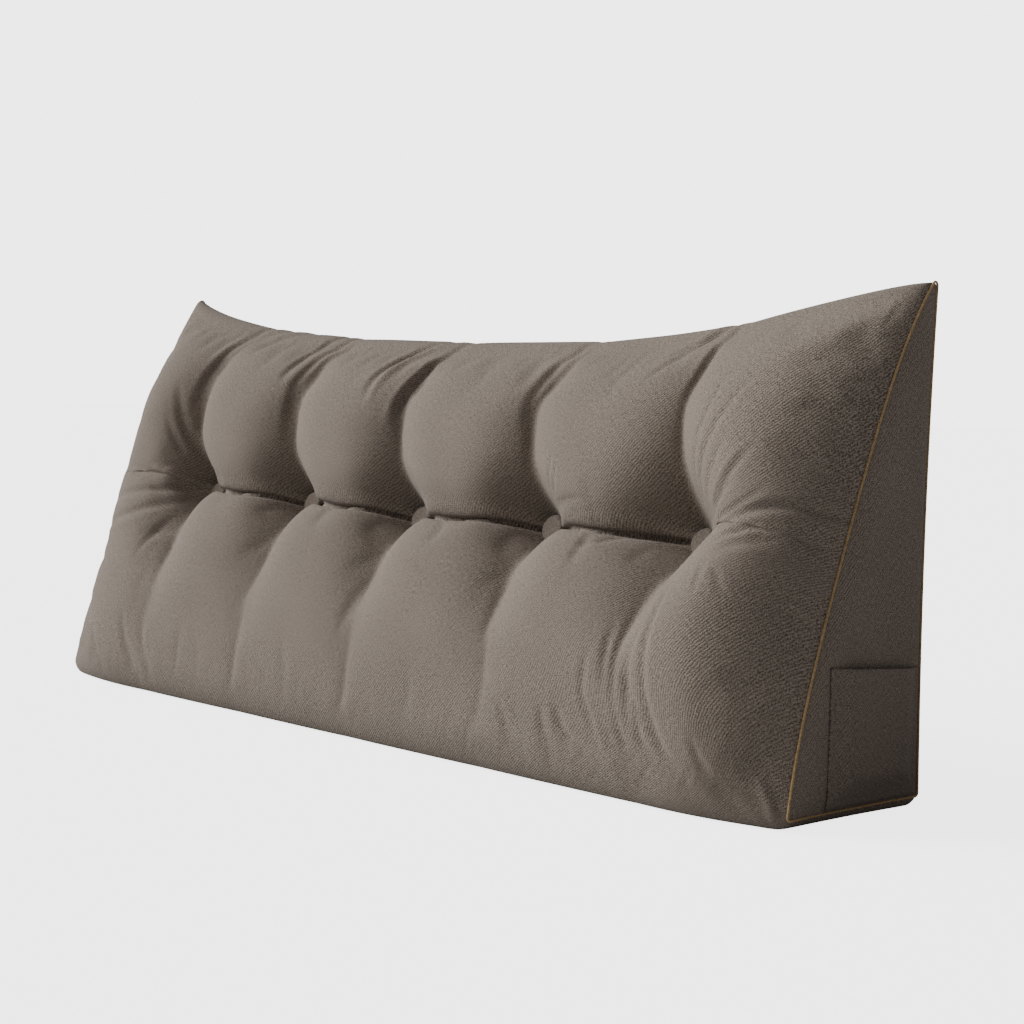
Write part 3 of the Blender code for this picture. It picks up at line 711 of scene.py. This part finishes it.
# %% Cloth materials
def cloth_material(name, dark, light, pitch, roughness=0.95, sheen=0.06):
    made = bpy.data.materials.new(name)
    made.use_nodes = True
    tree = made.node_tree
    shader = tree.nodes["Principled BSDF"]
    shader.inputs["Roughness"].default_value = roughness
    shader.inputs["Sheen Weight"].default_value = sheen
    shader.inputs["Sheen Roughness"].default_value = 0.6
    shader.inputs["Specular IOR Level"].default_value = 0.2
    place = tree.nodes.new("ShaderNodeUVMap")
    place.uv_map = "cloth"
    twill = tree.nodes.new("ShaderNodeGroup")
    twill.node_tree = TWILL
    twill.inputs["Pitch"].default_value = pitch
    link(tree, place.outputs["UV"], twill.inputs["Vector"])
    patch = tree.nodes.new("ShaderNodeTexNoise")
    patch.inputs["Scale"].default_value = 9.0
    patch.inputs["Detail"].default_value = 4.0
    link(tree, place.outputs["UV"], patch.inputs["Vector"])
    tone = math_node(tree, "MULTIPLY", math_node(tree, "SUBTRACT", patch.outputs["Fac"], 0.5), 0.35)
    mix = tree.nodes.new("ShaderNodeMix")
    mix.data_type = "RGBA"
    mix.inputs["A"].default_value = (*dark, 1.0)
    mix.inputs["B"].default_value = (*light, 1.0)
    amount = math_node(tree, "ADD", twill.outputs["Shade"], tone)
    link(tree, amount, mix.inputs["Factor"])
    link(tree, mix.outputs["Result"], shader.inputs["Base Color"])
    bump = tree.nodes.new("ShaderNodeBump")
    bump.inputs["Strength"].default_value = 0.6
    bump.inputs["Distance"].default_value = 0.0004
    link(tree, twill.outputs["Height"], bump.inputs["Height"])
    link(tree, bump.outputs["Normal"], shader.inputs["Normal"])
    return made


COVER_TWILL = cloth_material("taupe linen twill", (0.078, 0.064, 0.052), (0.292, 0.244, 0.198), 0.0025)
POCKET_TWILL = cloth_material("pocket twill", (0.074, 0.060, 0.050), (0.270, 0.224, 0.185), 0.0025)
# The buttons wear the cover's own cloth. Their darker colours here are painted shade for the pits they sit in.
BUTTON_TWILL_PAINTED_SHADE = cloth_material("button twill with painted shade", (0.066, 0.054, 0.044), (0.240, 0.200, 0.163), 0.0022)
PIPING_GOLD = cloth_material("gold piping thread", (0.220, 0.140, 0.065), (0.540, 0.370, 0.180), 0.0012, 0.7)

cover.data.materials.clear()
cover.data.materials.append(COVER_TWILL)
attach(cover, "root")
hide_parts("cushion")

# %% [markdown]
# ## Covered buttons
#
# Each button is a low disc with the cover's cloth drawn tightly over it and tucked in behind. It could be a
# squashed ball, but a real one has a flat back. So one is modelled from a cylinder whose rim is rounded and whose
# face is raised a little, and the five are copies of it, each pressed into its pit.

# %% Model one covered button
BUTTON_RADIUS = 0.0155
BUTTON_THICK = 0.0070
BUTTON_RIM = 0.0042
BUTTON_RING, BUTTON_RINGS = 0.0018, 5
BUTTON_CROWN = 0.0016
BUTTON_CLEARANCE = 0.0003
BUTTON_TILTS = (-5, 4, -3, 3, -2)


def covered_button():
    bpy.ops.object.select_all(action="DESELECT")
    bpy.ops.mesh.primitive_cylinder_add(vertices=64, radius=BUTTON_RADIUS, depth=BUTTON_THICK,
                                        location=(0.0, 0.0, BUTTON_THICK / 2))
    disc = bpy.context.object
    bpy.ops.object.mode_set(mode="EDIT")
    bpy.ops.mesh.select_all(action="DESELECT")
    bpy.ops.object.mode_set(mode="OBJECT")
    for edge in disc.data.edges:
        tops = [disc.data.vertices[v].co.z > BUTTON_THICK / 2 for v in edge.vertices]
        edge.select = all(tops)
    bpy.ops.object.mode_set(mode="EDIT")
    bpy.ops.mesh.bevel(offset=BUTTON_RIM, segments=6, profile=0.55, affect="EDGES")
    bpy.ops.object.mode_set(mode="OBJECT")
    top = max(disc.data.polygons, key=lambda f: f.center.z)
    for face in disc.data.polygons:
        face.select = face.index == top.index
    bpy.ops.object.mode_set(mode="EDIT")
    for _ in range(BUTTON_RINGS):
        bpy.ops.mesh.inset(thickness=BUTTON_RING)
    bpy.ops.object.mode_set(mode="OBJECT")
    for vert in disc.data.vertices:
        reach = math.hypot(vert.co.x, vert.co.y) / BUTTON_RADIUS
        if vert.co.z > BUTTON_THICK * 0.4:
            vert.co.z += BUTTON_CROWN * (1.0 - reach * reach)
    return disc


def cloth_map(obj):
    """A cloth map in metres, laid flat over a small piece from its front."""
    layer = obj.data.uv_layers.get("cloth") or obj.data.uv_layers.new(name="cloth")
    for loop in obj.data.loops:
        co = obj.data.vertices[loop.vertex_index].co
        layer.data[loop.index].uv = (co.x, co.y)


pattern = covered_button()
cloth_map(pattern)
turn = SLOPE_OUT.to_track_quat("Z", "Y").to_matrix().to_4x4()
for number, button in enumerate(BUTTONS, 1):
    mesh = pattern.data.copy()
    seat = SLOPE_FOOT + Vector((button["x"], 0.0, 0.0)) + SLOPE * button["rise"]
    seat += SLOPE_OUT * (button["out"] + BUTTON_CLEARANCE)
    tilt = Matrix.Rotation(math.radians(BUTTON_TILTS[number - 1]), 4, "X")
    mesh.transform(Matrix.Translation(seat) @ turn @ tilt)
    mesh.shade_smooth()
    mesh.materials.clear()
    # The button cloth is the cover's colour darkened as painted shade.
    mesh.materials.append(BUTTON_TWILL_PAINTED_SHADE)
    piece = bpy.data.objects.new(f"covered_button_{number}", mesh)
    bpy.context.scene.collection.objects.link(piece)
    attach(piece, "root")
    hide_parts(f"button_{number}")
bpy.data.objects.remove(pattern)
print("buttons", len(BUTTONS), "each", round(2 * BUTTON_RADIUS / MM), "mm across")

# %% [markdown]
# ## Patch pocket
#
# The pocket is one cloth sewn to the right end panel along three edges and open at the top. It could be a flat
# patch, but then nothing would fit in it, so it stands off the panel a little between its sewn edges.

# %% Pocket sheet
POCKET_FRONT, POCKET_BACK = -0.045, 0.091
POCKET_FOOT, POCKET_MOUTH = 0.014, 0.144
POCKET_MOUTH_DROP = 0.009
POCKET_ROOM = 0.0075
POCKET_MARGIN = 0.006
POCKET_RISE = 0.024
POCKET_CLOTH = 0.0012
POCKET_GAP = 0.0006
POCKET_COLUMNS, POCKET_ROWS = 60, 60
skin_tree = BVHTree.FromObject(cover, bpy.context.evaluated_depsgraph_get())


def panel_x(y, z):
    hit = skin_tree.ray_cast(Vector((1.0, y, z)), Vector((-1.0, 0.0, 0.0)))[0]
    return hit.x if hit else HALF_LENGTH


def pocket_x(y, z):
    sides = min(y - POCKET_FRONT, POCKET_BACK - y)
    edge = min(sides, z - POCKET_FOOT) - POCKET_MARGIN
    return panel_x(y, z) + POCKET_GAP + POCKET_ROOM * float(ease(edge / POCKET_RISE))


bm = bmesh.new()
uv = bm.loops.layers.uv.new("cloth")
rows = []
for row in range(POCKET_ROWS + 1):
    line = []
    for column in range(POCKET_COLUMNS + 1):
        y = POCKET_FRONT + (POCKET_BACK - POCKET_FRONT) * column / POCKET_COLUMNS
        mouth = POCKET_MOUTH - POCKET_MOUTH_DROP * column / POCKET_COLUMNS
        z = POCKET_FOOT + (mouth - POCKET_FOOT) * row / POCKET_ROWS
        line.append(bm.verts.new((pocket_x(y, z), y, z)))
    rows.append(line)
for low, high in zip(rows, rows[1:]):
    for a, b, c, d in zip(low, low[1:], high[1:], high):
        face = bm.faces.new((a, b, c, d))
        for loop in face.loops:
            loop[uv].uv = (loop.vert.co.y, loop.vert.co.z)
mesh = bpy.data.meshes.new("pocket_cloth")
bm.to_mesh(mesh)
bm.free()
pocket = bpy.data.objects.new("pocket_cloth", mesh)
bpy.context.scene.collection.objects.link(pocket)
thick = pocket.modifiers.new("cloth thickness", "SOLIDIFY")
thick.thickness = POCKET_CLOTH
thick.offset = 1.0
pocket.data.materials.append(POCKET_TWILL)
pocket.data.shade_smooth()
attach(pocket, "root")
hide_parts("pocket")

# %% [markdown]
# ## Gold piping
#
# A thin gold cord is caught in the seams round the right end panel. A curve with a bevel would do, but a tube
# built point by point keeps its thread pattern in step with its length.

# %% Piping cord
PIPING_RADIUS = 0.0012
PIPING_SIDES = 10
seam = grid[-1]
body_side = grid[-4]
panel_side = panel_rings(grid[-1], 1)[1]
centres = []
for place, body, panel in zip(seam, body_side, panel_side):
    place, body, panel = Vector(place), Vector(body), Vector(panel)
    to_body, to_panel = (body - place).normalized(), (panel - place).normalized()
    across = (to_body - to_panel).normalized()
    outward = Vector((0.0, place.y - PANEL_MIDDLE[0], place.z - PANEL_MIDDLE[1])).normalized()
    outward.x = 1.0
    outward = (outward - across * outward.dot(across)).normalized()
    centres.append(place + outward * (PIPING_RADIUS * 0.8))
bm = bmesh.new()
uv = bm.loops.layers.uv.new("cloth")
loops_of_tube = []
length = 0.0
lengths = []
count = len(centres)
for i, centre in enumerate(centres):
    ahead, behind = centres[(i + 1) % count], centres[i - 1]
    along = (ahead - behind).normalized()
    side = Vector((1.0, 0.0, 0.0)) - along * along.x
    side.normalize()
    other = along.cross(side)
    loops_of_tube.append([
        bm.verts.new(centre + (side * math.cos(a) + other * math.sin(a)) * PIPING_RADIUS)
        for a in (2.0 * math.pi * k / PIPING_SIDES for k in range(PIPING_SIDES))
    ])
    lengths.append(length)
    length += (ahead - centre).length
lengths.append(length)
for i in range(count):
    near, far = loops_of_tube[i], loops_of_tube[(i + 1) % count]
    for k in range(PIPING_SIDES):
        m = (k + 1) % PIPING_SIDES
        face = bm.faces.new((near[k], near[m], far[m], far[k]))
        for loop, (l, a) in zip(face.loops, ((i, k), (i, k + 1), (i + 1, k + 1), (i + 1, k))):
            loop[uv].uv = (lengths[l], a / PIPING_SIDES * 2.0 * math.pi * PIPING_RADIUS)
bmesh.ops.recalc_face_normals(bm, faces=bm.faces)
mesh = bpy.data.meshes.new("gold_piping")
bm.to_mesh(mesh)
bm.free()
piping = bpy.data.objects.new("gold_piping", mesh)
bpy.context.scene.collection.objects.link(piping)
piping.data.materials.append(PIPING_GOLD)
piping.data.shade_smooth()
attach(piping, "root")
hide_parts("piping")
print("piping runs", round(length, 3), "m round the end")

# %% [markdown]
# ## Floor, light and camera
#
# The cushion stands on a plain pale floor. One broad soft sun from the left models the puffs, and an even sky
# fills the shadows. The camera stands off the front right corner, low, as in a catalogue picture.

# %% Floor and light
FLOOR_GLOW = 3.3
BACKDROP_GLOW = 4.0
bpy.ops.object.select_all(action="DESELECT")
bpy.ops.mesh.primitive_plane_add(size=60.0, location=(0.0, 0.0, -0.0004))
floor = bpy.context.object
floor.name = "studio_floor"
pale = bpy.data.materials.new("pale floor")
pale.use_nodes = True
pale_tree = pale.node_tree
pale_tree.nodes["Principled BSDF"].inputs["Base Color"].default_value = (0.55, 0.55, 0.55, 1.0)
pale_tree.nodes["Principled BSDF"].inputs["Roughness"].default_value = 1.0
eye = pale_tree.nodes.new("ShaderNodeLightPath")
glow = math_node(pale_tree, "MULTIPLY", eye.outputs["Is Camera Ray"], FLOOR_GLOW)
pale_tree.nodes["Principled BSDF"].inputs["Emission Color"].default_value = (1.0, 1.0, 1.0, 1.0)
link(pale_tree, glow, pale_tree.nodes["Principled BSDF"].inputs["Emission Strength"])
floor.data.materials.append(pale)

sun = bpy.data.lights.new("soft_sun", "SUN")
sun.energy = 5.0
sun.angle = math.radians(35.0)
sun_lamp = bpy.data.objects.new("soft_sun", sun)
sun_lamp.rotation_euler = Vector((0.72, 0.44, -0.46)).to_track_quat("-Z", "Y").to_euler()
bpy.context.scene.collection.objects.link(sun_lamp)

world = bpy.data.worlds.new("studio")
world.use_nodes = True
tree = world.node_tree
sky = tree.nodes["Background"]
sky.inputs["Color"].default_value = (1.0, 0.95, 0.95, 1.0)
sky.inputs["Strength"].default_value = 0.24
seen = tree.nodes.new("ShaderNodeBackground")
seen.inputs["Color"].default_value = (1.0, 1.0, 1.0, 1.0)
seen.inputs["Strength"].default_value = BACKDROP_GLOW
path = tree.nodes.new("ShaderNodeLightPath")
choose = tree.nodes.new("ShaderNodeMixShader")
tree.links.new(path.outputs["Is Camera Ray"], choose.inputs["Fac"])
tree.links.new(sky.outputs[0], choose.inputs[1])
tree.links.new(seen.outputs[0], choose.inputs[2])
tree.links.new(choose.outputs[0], tree.nodes["World Output"].inputs["Surface"])
bpy.context.scene.world = world

# %% Camera
CAMERA_PLACE = Vector((1.7009, -1.4931, 0.3848))
CAMERA_YAW, CAMERA_PITCH, CAMERA_ROLL = 0.811027, 0.0597124, 0.0283615
CAMERA_LENS_PIXELS, FRAME_PIXELS, SENSOR = 1994.33, 1024, 36.0
look = Vector((
    -math.sin(CAMERA_YAW) * math.cos(CAMERA_PITCH),
    math.cos(CAMERA_YAW) * math.cos(CAMERA_PITCH),
    -math.sin(CAMERA_PITCH),
))
level = Vector((math.cos(CAMERA_YAW), math.sin(CAMERA_YAW), 0.0))
upright = level.cross(look)
right = level * math.cos(CAMERA_ROLL) + upright * math.sin(CAMERA_ROLL)
up = upright * math.cos(CAMERA_ROLL) - level * math.sin(CAMERA_ROLL)
camera = bpy.data.cameras.new("catalogue_camera")
camera.sensor_width = SENSOR
camera.lens = CAMERA_LENS_PIXELS / FRAME_PIXELS * SENSOR
stand = bpy.data.objects.new("catalogue_camera", camera)
stand.matrix_world = Matrix((
    (right.x, up.x, -look.x, CAMERA_PLACE.x),
    (right.y, up.y, -look.y, CAMERA_PLACE.y),
    (right.z, up.z, -look.z, CAMERA_PLACE.z),
    (0.0, 0.0, 0.0, 1.0),
))
bpy.context.scene.collection.objects.link(stand)
bpy.context.scene.camera = stand
print("lens", round(camera.lens, 1), "mm")
